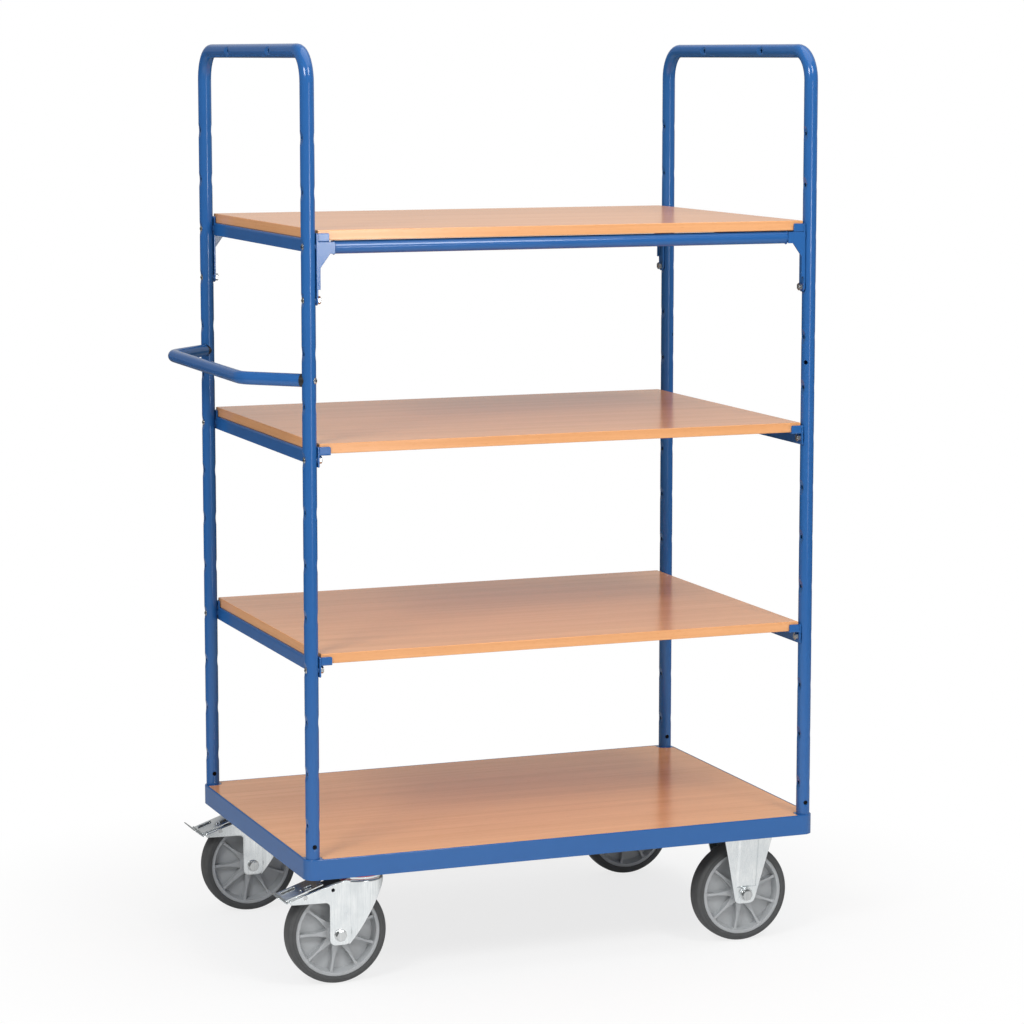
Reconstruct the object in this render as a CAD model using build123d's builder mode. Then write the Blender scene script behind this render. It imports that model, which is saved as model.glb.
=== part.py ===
"""Shelf trolley: a wheeled base with a wooden deck, two tube hoops with rows of holes, three wooden
shelves hung between them, a push handle, two braked swivel casters and two fixed casters.

Millimetres, +Z up, floor at z = 0. The trolley runs along X with the handle at -X and its front at -Y.
"""

import os
from math import cos, hypot, radians, sin

from build123d import *

# Overall
height = 1800

# Base frame
base_length = 1072
base_width = 724
rim_top = 261
rim_height = 40
rim_corner = 23
rim_wall = 3
rim_edge = 2
ledge_top = 245
ledge_width = 15
ledge_sheet = 3.5
cross_length = 150
cross_sheet = 4
channel_width = 40
channel_depth = 20
block_side = 32
block_corner = 15
block_height = 24

# Hoops and their holes
post_x = 518
post_y = 344
post_r = 13.5
post_bore = 11.5
hoop_bend = 58
hole_r = 4.3
first_hole = 325
hole_step = 100
hole_count = 14
bar_hole_y = 138
dent_r = 40
dent_depth = 3.2
spigot_r = 11.4
spigot_height = 40
foot_screw_z = 285
foot_hole_r = 3.6
foot_dent_r = 18
foot_dent_depth = 1.5

# Boards
deck_thick = 16
deck_gap = 0.5
deck_screw_x = 250
shelf_length = 1000
shelf_width = 700
shelf_thick = 19
board_chamfer = 1

# Shelf rails, measured from the height of the shelf's bolts
shelf_levels = (625, 1025, 1425)
rail_sheet = 3
rail_half = 354
rail_leg = 25
rail_rise = 11.5
rail_drop = 13.5
rail_bend = 2.5
ear_width = 22
ear_rise = 25
lug_corner = 3
boss_r = 7
boss_height = 2.5
board_screw_x = 490
board_screw_y = 300

# Welded frame of the top shelf
top_tube_r = 12.5
top_tube_bore = 10.5
top_tube_y = 339
top_tube_z = 1423
top_tube_end = 470
leg_bolt_z = 1325
leg_width = 20
gusset_lap = 2
gusset_flat = 8
gusset_inset = 4.5
gusset_slant = 40
gusset_drop = 80

# Push handle
handle_x = 620
handle_y = 245
handle_z = 1175
handle_r = 12.5
handle_bore = 10
handle_bend = 45
stand_off = 16
insert_length = 25
insert_grip = 20

# Fasteners
bolt_r = 4
dome_r = 6.5
dome_height = 2.6
head_chamfer = 0.35
nut_flats = 13
nut_height = 6.5
thread_past_nut = 1
wood_screw_r = 2
wood_screw_clear = 2.2
wood_head_r = 4
wood_head_height = 2.5
wood_screw_bite = 12
foot_screw_r = 3
foot_head_r = 3.3
foot_head_height = 0.6
foot_screw_bite = 8

# Casters
caster_y = 292
swivel_x = -408
fixed_x = 400
plate_length = 140
plate_width = 110
plate_corner = 12
plate_sheet = 5
plate_bolts_x = 105
plate_bolts_y = 75
caster_bolt_r = 5
caster_hole_r = 5.3
caster_head_r = 9
caster_head_height = 3
caster_nut_flats = 17
caster_nut_height = 8
axle_z = 100
axle_r = 6
axle_hole_r = 6.1
axle_hex_flats = 18
axle_head_height = 8
axle_nut_height = 10
axle_past_nut = 2

# Swivel head, radii about the swivel axis
pin_r = 8
pin_head_r = 13
pin_head_height = 5.7
pin_chamfer = 1.5
running_gap = 0.05
dish_r = 40
dish_bore = 26
dish_depth = 15.5
race_r = (28, 38)
race_lift = 0.35
collar_r = (38.6, 43)
collar_height = 3.4
collar_root = 1.5
seal_r = (38.3, 45)
seal_lift = 3.8

# Fork, lengths measured from the swivel axis and heights from the floor
trail = 50
fork_half = 36
fork_sheet = 4
fork_low = 80
fork_edge = 3
crown_top = 209
nose_r = 46
crown_rear = -37
crown_bend = 4
nose_slant = ((-32, 79.2), (47, 207))
cheek_front = -28
cheek_rear = -71
cheek_foot = 12
wing = ((-93, 195), (-154, 175.5), (-148, 167))
wing_low = 165
wing_bend = 30
wing_tip = 4
wing_root = 8
cut_past = 1
fork_peep = (-64.6, 190.5)
fork_peep_r = 3.5

# Brake pedal, lengths measured from its pivot along and across the tread
pedal_pivot = (-120, 180)
pedal_slope = 18.9
pedal_travel = 10
pedal_half = 31
pedal_sheet = 2.5
pedal_top = 9.8
pedal_front = 42
pedal_rear = -37
pedal_pin_r = 4
pedal_boss_r = 8
flap_half = 42
flap_sheet = 2
flap_path = ((-35, 7.2), (-39, 5.2), (-51.5, 24.5))
toe_corner = 4
flange_span = (-35, 10)
flange_low = 2
long_slot = (30, 5)
long_slot_place = (-18, 12)
short_slot = (15, 5)
short_slot_place = (16, -16)
tread_rivet_place = (2, -11)
tread_rivet_r = 4
tread_rivet_height = 1.5
tread_rivet_taper = 30
shoe_half = 16
shoe_gap = 0.8
shoe_angles = (126, 135)

# Fixed bracket
leg_foot = 36
leg_head = 53
leg_head_half = 56
leg_foot_half = 20
leg_foot_corner = 12
leg_below_axle = 20
leg_lap = 2
leg_edge = 2
leg_rib = (44, 3)
leg_rib_gap = 4
leg_rib_taper = 50
boss_axle_r = 14
boss_axle_reach = (30.5, 39.5)

# Wheels
wheel_r = 100
tyre_bore = 85
tyre_half = 21
tyre_step = 6
tyre_relief = 1
tread_half = 12
tread_edge_r = 99.4
shoulder = (18, 96.5)
rim_half = 19
lip_r = 78
web_r = 73
hub_r = (20, 23)
hub_half = 28
hub_bore = 10
bearing_r = 16
bearing_width = 12
sleeve_r = 8
web_half = 4
rib_count = 9
rib_start = 20
rib_half = 16
rib_side = ((18, 9), (50, 2.6), (79, 3.6))

# Derived places
hole_levels = [first_hole + hole_step * k for k in range(hole_count)]
bar_z = height - post_r
dent_reach = post_r - dent_depth + dent_r
head_seat = post_r - dent_depth + dome_r**2 / (2 * dent_r)
rail_x = post_x - post_r
reach_left = handle_x + handle_r
reach_right = base_length / 2
deck_x = (reach_left - reach_right) / 2
inner_length = base_length - 2 * rim_wall
inner_width = base_width - 2 * rim_wall
inner_corner = rim_corner - rim_wall
mount_top = ledge_top - ledge_sheet
plate_top = mount_top - cross_sheet
plate_low = plate_top - plate_sheet
arm_length = hypot(handle_x - post_x, post_y - handle_y)
arm_ux = (handle_x - post_x) / arm_length
arm_uy = (post_y - handle_y) / arm_length
fork_in = fork_half - fork_sheet
wheel_x = swivel_x - trail
corners = [(hand, s) for hand in (-1, 1) for s in (-1, 1)]
ledge_x = (inner_length - ledge_width) / 2
ledge_y = (inner_width - ledge_width) / 2
deck_screws = [(hand * deck_screw_x, s * ledge_y) for hand, s in corners] + [(-ledge_x, 0), (ledge_x, 0)]
bolt_places = [(hand, s, z) for hand, s in corners for z in (*shelf_levels, leg_bolt_z)]
caster_places = [(x, y) for x in (swivel_x, fixed_x) for y in (-caster_y, caster_y)]


# Planes, in lengths from the middle of the deck


def level(z, x=0, y=0):
    """Level plane at a height."""
    return Plane((deck_x + x, y, z))


def side(y, x=0, z=0):
    """Upright plane facing the front, its own x along the trolley and its own y upwards."""
    return Plane(origin=(deck_x + x, y, z), x_dir=(1, 0, 0), z_dir=(0, -1, 0))


def end(x, y=0, z=0):
    """Upright plane facing +X, its own x across the trolley and its own y upwards."""
    return Plane(origin=(deck_x + x, y, z), x_dir=(0, 1, 0), z_dir=(1, 0, 0))


def inward(hand, x, y, z):
    """Plane at one end of the trolley that faces its middle, for bolts and nuts along X."""
    return Plane(origin=(deck_x + hand * x, y, z), x_dir=(0, 0, 1), z_dir=(-hand, 0, 0))


def arm(hand, s, distance=0):
    """Plane across a handle arm, a distance out from the post's axis, facing along the arm."""
    x = post_x + distance * arm_ux
    y = post_y - distance * arm_uy
    return Plane(origin=(deck_x + hand * x, s * y, handle_z), z_dir=(hand * arm_ux, -s * arm_uy, 0))


def tread(y):
    """Plane through the middle of a brake pedal, its own x up the tread and its own y square to it."""
    slope = radians(pedal_slope)
    origin = (deck_x + swivel_x + pedal_pivot[0], y, pedal_pivot[1])
    return Plane(origin=origin, x_dir=(cos(slope), 0, sin(slope)), z_dir=(0, -1, 0))


def tread_top(y):
    """Plane on top of a brake pedal's tread, its own x up the tread."""
    middle = tread(y)
    return Plane(origin=middle.from_local_coords((0, pedal_top, 0)), x_dir=middle.x_dir, z_dir=middle.y_dir)


def keep(piece, node):
    """Label a finished piece and write it."""
    piece.part.label = node
    export_step(piece.part, f"parts/{node}.step")


# Fasteners, each along +Z from the face that it bears on


def dome_bolt(length):
    with BuildPart() as bolt:
        with BuildSketch(Plane.XZ):
            with BuildLine():
                crown = TangentArc((0, -dome_height), (dome_r, 0), tangent=(1, 0))
                Polyline(crown @ 1, (bolt_r, 0), (bolt_r, length), (0, length), crown @ 0)
            make_face()
        revolve(axis=Axis.Z)
    return bolt.part


def hex_bolt(flats, head, shank_r, length):
    with BuildPart() as bolt:
        with BuildSketch():
            RegularPolygon(flats / 2, 6, major_radius=False)
        extrude(amount=-head)
        with BuildSketch():
            Circle(shank_r)
        extrude(amount=length)
    return bolt.part


def round_bolt(head_r, head, shank_r, length):
    with BuildPart() as bolt:
        with BuildSketch():
            Circle(head_r)
        extrude(amount=-head)
        chamfer(bolt.faces().sort_by(Axis.Z)[0].edges(), head * head_chamfer)
        with BuildSketch():
            Circle(shank_r)
        extrude(amount=length)
    return bolt.part


def hex_nut(flats, high, thread_r):
    with BuildPart() as nut:
        with BuildSketch():
            RegularPolygon(flats / 2, 6, major_radius=False)
            Circle(thread_r, mode=Mode.SUBTRACT)
        extrude(amount=high)
    return nut.part


def placed(piece, planes):
    """Separate copies of one piece, one on each plane."""
    with BuildPart() as group:
        with Locations(*planes):
            add(piece)
    return group


# Base


def base():
    with BuildPart() as frame:
        with BuildSketch(level(rim_top - rim_height)):
            RectangleRounded(base_length, base_width, rim_corner)
            RectangleRounded(inner_length, inner_width, inner_corner, mode=Mode.SUBTRACT)
        extrude(amount=rim_height)
        fillet(frame.faces().sort_by(Axis.Z)[-1].outer_wire().edges(), rim_edge)
        # Ledge under the deck's edge
        with BuildSketch(level(ledge_top)):
            RectangleRounded(inner_length, inner_width, inner_corner)
            Rectangle(
                inner_length - 2 * ledge_width, inner_width - 2 * ledge_width, mode=Mode.SUBTRACT
            )
            with Locations(*deck_screws):
                Circle(wood_screw_clear, mode=Mode.SUBTRACT)
        extrude(amount=-ledge_sheet)
        # Cross plates that carry the casters
        with BuildSketch(level(mount_top)):
            with Locations((swivel_x, 0), (fixed_x, 0)):
                Rectangle(cross_length, inner_width)
            with Locations(*caster_places):
                with GridLocations(plate_bolts_x, plate_bolts_y, 2, 2):
                    Circle(caster_hole_r, mode=Mode.SUBTRACT)
        extrude(amount=-cross_sheet)
        # Channel across the middle, open below
        with BuildSketch(side(0)):
            with Locations((0, ledge_top - channel_depth / 2)):
                Rectangle(channel_width, channel_depth)
            with Locations((0, ledge_top - ledge_sheet - channel_depth / 2)):
                Rectangle(channel_width - 2 * ledge_sheet, channel_depth, mode=Mode.SUBTRACT)
        extrude(amount=inner_width / 2, both=True)
        # Corner blocks with the spigots that the posts stand on
        with BuildSketch(level(rim_top)):
            with GridLocations(inner_length, inner_width, 2, 2):
                RectangleRounded(2 * block_side, 2 * block_side, block_corner)
            RectangleRounded(inner_length, inner_width, inner_corner, mode=Mode.INTERSECT)
        extrude(amount=-block_height)
        with BuildSketch(level(rim_top)):
            with GridLocations(2 * post_x, 2 * post_y, 2, 2):
                Circle(spigot_r)
        extrude(amount=spigot_height)
        for s in (-1, 1):
            with BuildSketch(side(s * (post_y + spigot_r))):
                with Locations((-post_x, foot_screw_z), (post_x, foot_screw_z)):
                    Circle(foot_screw_r)
            extrude(amount=s * foot_screw_bite, mode=Mode.SUBTRACT)
    return frame


def deck():
    with BuildPart() as board:
        with BuildSketch(level(ledge_top)):
            Rectangle(inner_length - 2 * deck_gap, inner_width - 2 * deck_gap)
            with GridLocations(inner_length, inner_width, 2, 2):
                notch = 2 * (block_side + deck_gap)
                RectangleRounded(notch, notch, block_corner + deck_gap, mode=Mode.SUBTRACT)
        extrude(amount=deck_thick)
        faces = board.faces().sort_by(Axis.Z)
        chamfer(faces[0].edges() + faces[-1].edges(), board_chamfer)
        with BuildSketch(level(ledge_top)):
            with Locations(*deck_screws):
                Circle(wood_screw_r)
        extrude(amount=wood_screw_bite, mode=Mode.SUBTRACT)
    return board


# Hoops


def dents(x, radius):
    """Tools that press both sides of a hoop at every hole, in the posts and in the bar."""
    with BuildPart() as tools:
        with BuildSketch(side(0)):
            with Locations(*[(x + s * dent_reach, z) for s in (-1, 1) for z in hole_levels]):
                Circle(radius)
        extrude(amount=post_y + post_r, both=True)
        with BuildSketch(level(bar_z)):
            with Locations((x - dent_reach, 0), (x + dent_reach, 0)):
                with GridLocations(0, 2 * bar_hole_y, 1, 2):
                    Circle(radius)
        extrude(amount=post_r, both=True)
    return tools.part


def dented_bar(x, radius):
    """Round bar bent over one end of the trolley, dented as deep as the outside of the tube."""
    with BuildPart() as bar:
        with BuildLine(end(x)):
            FilletPolyline(
                (-post_y, rim_top), (-post_y, bar_z), (post_y, bar_z), (post_y, rim_top), radius=hoop_bend
            )
        with BuildSketch(level(rim_top, x, -post_y)):
            Circle(radius)
        sweep()
        add(dents(x, dent_r + post_r - radius), mode=Mode.SUBTRACT)
    return bar.part


def hoop(hand):
    """Bent tube over one end of the trolley, dented and drilled along X at every shelf height."""
    x = hand * post_x
    with BuildPart() as tube:
        add(dented_bar(x, post_r))
        add(dented_bar(x, post_bore), mode=Mode.SUBTRACT)
        with BuildSketch(end(x)):
            with Locations(*[(s * post_y, z) for s in (-1, 1) for z in hole_levels]):
                Circle(hole_r)
            with Locations((-bar_hole_y, bar_z), (bar_hole_y, bar_z)):
                Circle(hole_r)
        extrude(amount=post_r, both=True, mode=Mode.SUBTRACT)
        # Holes for the handle's bolts, along its arms
        for s in (-1, 1):
            with BuildSketch(arm(hand, s)):
                Circle(hole_r)
            extrude(amount=post_r, both=True, mode=Mode.SUBTRACT)
        # Dimpled screw hole in the outer wall of each foot
        for s in (-1, 1):
            with Locations(side(s * (post_y + post_r - foot_dent_depth + foot_dent_r), x, foot_screw_z)):
                Sphere(foot_dent_r, mode=Mode.SUBTRACT)
            with BuildSketch(side(s * (post_y + post_r))):
                with Locations((x, foot_screw_z)):
                    Circle(foot_hole_r)
            extrude(amount=s * post_r, mode=Mode.SUBTRACT)
    return tube


# Shelves


def shelf(z):
    with BuildPart() as board:
        with BuildSketch(level(z + rail_rise)):
            Rectangle(shelf_length, shelf_width)
        extrude(amount=shelf_thick)
        faces = board.faces().sort_by(Axis.Z)
        chamfer(faces[0].edges() + faces[-1].edges(), board_chamfer)
        with BuildSketch(level(z + rail_rise)):
            with GridLocations(2 * board_screw_x, 2 * board_screw_y, 2, 2):
                Circle(wood_screw_r)
        extrude(amount=wood_screw_bite, mode=Mode.SUBTRACT)
    return board


def end_rail(hand, z):
    """Bent angle across one end of a shelf: a flat leg under the board with its ends turned up past the
    board's sides, and an upright leg with an ear at each post."""
    flat_z = z + rail_rise - rail_sheet / 2
    upright_x = rail_x - rail_sheet / 2
    with BuildPart() as rail:
        with BuildSketch(side(0)):
            with BuildLine():
                FilletPolyline(
                    (hand * (rail_x - rail_leg), flat_z),
                    (hand * upright_x, flat_z),
                    (hand * upright_x, z - rail_drop),
                    radius=rail_bend,
                )
            trace(line_width=rail_sheet)
        extrude(amount=rail_half, both=True)
        with BuildSketch(end(hand * (rail_x - rail_leg))):
            with GridLocations(2 * rail_half - rail_sheet, 0, 2, 1):
                with Locations((0, z + (rail_rise - rail_sheet + ear_rise) / 2)):
                    Rectangle(rail_sheet, ear_rise - rail_rise + rail_sheet)
        extrude(amount=hand * (rail_leg - rail_sheet - deck_gap))
        fillet(rail.edges().filter_by(Axis.Y).group_by(Axis.Z)[-1], lug_corner)
        feet = rail.edges().filter_by(Axis.X).filter_by_position(
            Axis.Z, z + rail_rise - 1.01 * rail_sheet, z + rail_rise - 0.99 * rail_sheet
        )
        fillet(feet.group_by(Axis.Y)[0] + feet.group_by(Axis.Y)[-1], rail_bend)
        with BuildSketch(end(hand * (rail_x - rail_sheet))):
            with GridLocations(2 * rail_half - ear_width, 0, 2, 1):
                with Locations((0, z + (ear_rise - rail_drop) / 2)):
                    RectangleRounded(ear_width, ear_rise + rail_drop, rail_sheet)
        extrude(amount=hand * rail_sheet)
        # Bosses that seat in the posts' dents, drilled for the bolts
        with BuildSketch(end(hand * rail_x)):
            with Locations((-post_y, z), (post_y, z)):
                Circle(boss_r)
        extrude(amount=hand * boss_height)
        with BuildSketch(end(hand * rail_x)):
            with Locations((-post_y, z), (post_y, z)):
                Circle(hole_r)
        extrude(amount=rail_sheet, both=True, mode=Mode.SUBTRACT)
        with BuildSketch(level(z + rail_rise)):
            with Locations((hand * board_screw_x, -board_screw_y), (hand * board_screw_x, board_screw_y)):
                Circle(wood_screw_clear)
        extrude(amount=-rail_sheet, mode=Mode.SUBTRACT)
    return rail


def welded_frame(end_rails, z):
    """Frame of the top shelf: two end rails and two tubes, with a leg down to the next hole at each post."""
    leg_x = rail_x - rail_sheet
    bracket = (
        (top_tube_end - gusset_lap, z + rail_rise - rail_sheet),
        (top_tube_end - gusset_lap, z - rail_drop),
        (top_tube_end + gusset_flat, z - rail_drop),
        (leg_x - gusset_inset, z - gusset_slant),
        (leg_x - gusset_inset, z - gusset_drop),
        (rail_x, z - gusset_drop),
        (rail_x, z + rail_rise - rail_sheet),
    )
    with BuildPart() as frame:
        for rail in end_rails:
            add(rail.part)
        with BuildSketch(end(-top_tube_end)):
            with Locations((-top_tube_y, top_tube_z), (top_tube_y, top_tube_z)):
                Circle(top_tube_r)
                Circle(top_tube_bore, mode=Mode.SUBTRACT)
        extrude(amount=2 * top_tube_end)
        for hand, s in corners:
            with BuildSketch(side(s * rail_half)):
                with BuildLine():
                    Polyline(*[(hand * px, pz) for px, pz in bracket], close=True)
                make_face()
            extrude(amount=s * rail_sheet)
            with BuildSketch(end(hand * leg_x)):
                with Locations((s * post_y, (z + leg_bolt_z) / 2)):
                    Rectangle(leg_width, z - leg_bolt_z)
                with Locations((s * post_y, leg_bolt_z)):
                    Circle(leg_width / 2)
            extrude(amount=hand * rail_sheet)
            with BuildSketch(end(hand * rail_x)):
                with Locations((s * post_y, leg_bolt_z)):
                    Circle(boss_r)
            extrude(amount=hand * boss_height)
            with BuildSketch(end(hand * rail_x)):
                with Locations((s * post_y, leg_bolt_z), (s * post_y, z)):
                    Circle(hole_r)
            extrude(amount=rail_sheet, both=True, mode=Mode.SUBTRACT)
    return frame


# Push handle


def handle():
    starts = [(-post_x - stand_off * arm_ux, s * (post_y - stand_off * arm_uy)) for s in (-1, 1)]
    with BuildPart() as tube:
        with BuildLine(level(handle_z)):
            FilletPolyline(
                starts[0], (-handle_x, -handle_y), (-handle_x, handle_y), starts[1], radius=handle_bend
            )
        with BuildSketch(arm(-1, -1, stand_off)):
            Circle(handle_r)
            Circle(handle_bore, mode=Mode.SUBTRACT)
        sweep()
    return tube


def inserts():
    with BuildPart() as plugs:
        for s in (-1, 1):
            with BuildSketch(arm(-1, s, stand_off)):
                Circle(handle_bore)
                Circle(bolt_r, mode=Mode.SUBTRACT)
            extrude(amount=insert_length)
    return plugs


def spacers():
    """Saddles between the posts and the handle's ends."""
    with BuildPart() as saddles:
        for s in (-1, 1):
            with BuildSketch(arm(-1, s)):
                Circle(handle_r)
                Circle(hole_r, mode=Mode.SUBTRACT)
            extrude(amount=stand_off)
        with BuildSketch(level(handle_z, -post_x)):
            with GridLocations(0, 2 * post_y, 1, 2):
                Circle(post_r)
        extrude(amount=handle_r, both=True, mode=Mode.SUBTRACT)
    return saddles


# Wheels


def rim(x, y):
    """Cast rim: hub with bearing seats, thin web, conical ring and ribs that are waisted."""
    half = (
        (hub_half - bearing_width, hub_bore),
        (hub_half - bearing_width, bearing_r),
        (hub_half, bearing_r),
        (hub_half, hub_r[0]),
        (web_half, hub_r[1]),
        (web_half, web_r),
        (rim_half, lip_r),
        (rim_half, tyre_bore),
    )
    outline = half + tuple((-a, r) for a, r in reversed(half))
    with BuildSketch() as rib:
        with BuildLine():
            upper = ThreePointArc(*rib_side)
            lower = ThreePointArc(*[(r, -w) for r, w in rib_side])
            Line(upper @ 0, lower @ 0)
            Line(upper @ 1, lower @ 1)
        make_face()
    with BuildPart() as casting:
        with BuildSketch(end(x, y, axle_z)):
            with BuildLine():
                Polyline(*outline, close=True)
            make_face()
        revolve(axis=Axis((deck_x + x, y, axle_z), (0, 1, 0)))
        with BuildSketch(side(y, x, axle_z)):
            with PolarLocations(0, rib_count, start_angle=rib_start):
                add(rib.sketch)
        extrude(amount=rib_half, both=True)
    return casting


def tyre(x, y):
    """Solid tyre with a crowned tread, round shoulders and a step above the rim."""
    step_r = tyre_bore + tyre_step
    with BuildPart() as ring:
        with BuildSketch(end(x, y, axle_z)):
            with BuildLine():
                Polyline(
                    (-tyre_half + tyre_relief, step_r),
                    (-tyre_half, step_r),
                    (-tyre_half, tyre_bore),
                    (tyre_half, tyre_bore),
                    (tyre_half, step_r),
                    (tyre_half - tyre_relief, step_r),
                )
                for s in (-1, 1):
                    ThreePointArc(
                        (s * (tyre_half - tyre_relief), step_r),
                        (s * shoulder[0], shoulder[1]),
                        (s * tread_half, tread_edge_r),
                    )
                ThreePointArc((-tread_half, tread_edge_r), (0, wheel_r), (tread_half, tread_edge_r))
            make_face()
        revolve(axis=Axis((deck_x + x, y, axle_z), (0, 1, 0)))
    return ring


def bearings(x, y):
    with BuildPart() as pair:
        for s in (-1, 1):
            with BuildSketch(side(y + s * hub_half, x, axle_z)):
                Circle(bearing_r)
                Circle(sleeve_r + running_gap, mode=Mode.SUBTRACT)
            extrude(amount=s * bearing_width)
    return pair


def sleeves(places, half):
    """Distance tubes on the axles, between the fork or bracket legs."""
    with BuildPart() as tubes:
        for x, y in places:
            with BuildSketch(side(y, x, axle_z)):
                Circle(sleeve_r)
                Circle(axle_r + running_gap, mode=Mode.SUBTRACT)
            extrude(amount=half, both=True)
    return tubes


def behind(x, y):
    """Upright plane through an axle that faces the back."""
    return Plane(origin=(deck_x + x, y, axle_z), x_dir=(1, 0, 0), z_dir=(0, 1, 0))


def axle_bolts(places, reach):
    length = 2 * reach + axle_nut_height + axle_past_nut
    bolt = hex_bolt(axle_hex_flats, axle_head_height, axle_r, length)
    return placed(bolt, [behind(x, y - reach) for x, y in places])


def axle_nuts(places, reach):
    nut = hex_nut(axle_hex_flats, axle_nut_height, axle_r)
    return placed(nut, [behind(x, y + reach) for x, y in places])


# Fixed casters


def bracket_leg(outer, length):
    """Leg that hangs from the plate, on the plane of its outer face: round edges and a pressed rib."""
    rib_width, rib_height = leg_rib
    outline = (
        (-leg_foot_half, -leg_below_axle),
        (leg_foot_half, -leg_below_axle),
        (leg_head_half, length + leg_lap),
        (-leg_head_half, length + leg_lap),
    )
    with BuildPart() as leg:
        with BuildSketch(outer):
            with BuildLine():
                FilletPolyline(*outline, radius=[leg_foot_corner, leg_foot_corner, 0, 0], close=True)
            make_face()
        extrude(amount=-fork_sheet)
        fillet(leg.faces().sort_by(Axis(outer.origin, outer.z_dir))[-1].edges(), leg_edge)
        with BuildSketch(outer):
            with Locations((0, (length + boss_axle_r) / 2)):
                Rectangle(rib_width, length - boss_axle_r - leg_rib_gap)
        extrude(amount=rib_height, taper=leg_rib_taper)
    return leg.part


def bracket(y):
    """Top plate and two splayed legs, each with a boss for the axle."""
    rise = plate_low - axle_z
    lean = leg_head - leg_foot
    near, far = boss_axle_reach
    with BuildPart() as body:
        with BuildSketch(level(plate_top, fixed_x, y)):
            RectangleRounded(plate_length, plate_width, plate_corner)
            with GridLocations(plate_bolts_x, plate_bolts_y, 2, 2):
                Circle(caster_hole_r, mode=Mode.SUBTRACT)
        extrude(amount=-plate_sheet)
        for s in (-1, 1):
            outer = Plane(
                origin=(deck_x + fixed_x, y + s * leg_foot, axle_z),
                x_dir=(-s, 0, 0),
                z_dir=(0, s * rise, -lean),
            )
            add(bracket_leg(outer, hypot(rise, lean)))
            with BuildSketch(side(y + s * far, fixed_x, axle_z)):
                Circle(boss_axle_r)
            extrude(amount=s * (far - near))
        with BuildSketch(side(y, fixed_x, axle_z)):
            Circle(axle_hole_r)
        extrude(amount=leg_head, both=True, mode=Mode.SUBTRACT)
    return body


# Swivel casters


def swivel_plate(y):
    with BuildPart() as plate:
        with BuildSketch(level(plate_top, swivel_x, y)):
            RectangleRounded(plate_length, plate_width, plate_corner)
            Circle(pin_r, mode=Mode.SUBTRACT)
            with GridLocations(plate_bolts_x, plate_bolts_y, 2, 2):
                Circle(caster_hole_r, mode=Mode.SUBTRACT)
        extrude(amount=-plate_sheet)
        with BuildSketch(level(plate_low, swivel_x, y)):
            Circle(dish_r)
            Circle(dish_bore, mode=Mode.SUBTRACT)
        extrude(amount=-dish_depth)
    return plate


def kingpins():
    head_top = crown_top - fork_sheet - race_lift
    with BuildPart() as pins:
        with BuildSketch(level(plate_top)):
            with Locations((swivel_x, -caster_y), (swivel_x, caster_y)):
                Circle(pin_r)
        extrude(amount=head_top - plate_top)
        with BuildSketch(level(head_top)):
            with Locations((swivel_x, -caster_y), (swivel_x, caster_y)):
                Circle(pin_head_r)
        extrude(amount=-pin_head_height)
        chamfer(pins.faces().group_by(Axis.Z)[0].edges(), pin_chamfer)
    return pins


def head_rings(radii, lift):
    """Rings that hang under the dishes, a little above the crowns."""
    with BuildPart() as rings:
        with BuildSketch(level(plate_low - dish_depth)):
            with Locations((swivel_x, -caster_y), (swivel_x, caster_y)):
                Circle(radii[1])
                Circle(radii[0], mode=Mode.SUBTRACT)
        extrude(amount=crown_top + lift - plate_low + dish_depth)
    return rings


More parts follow.
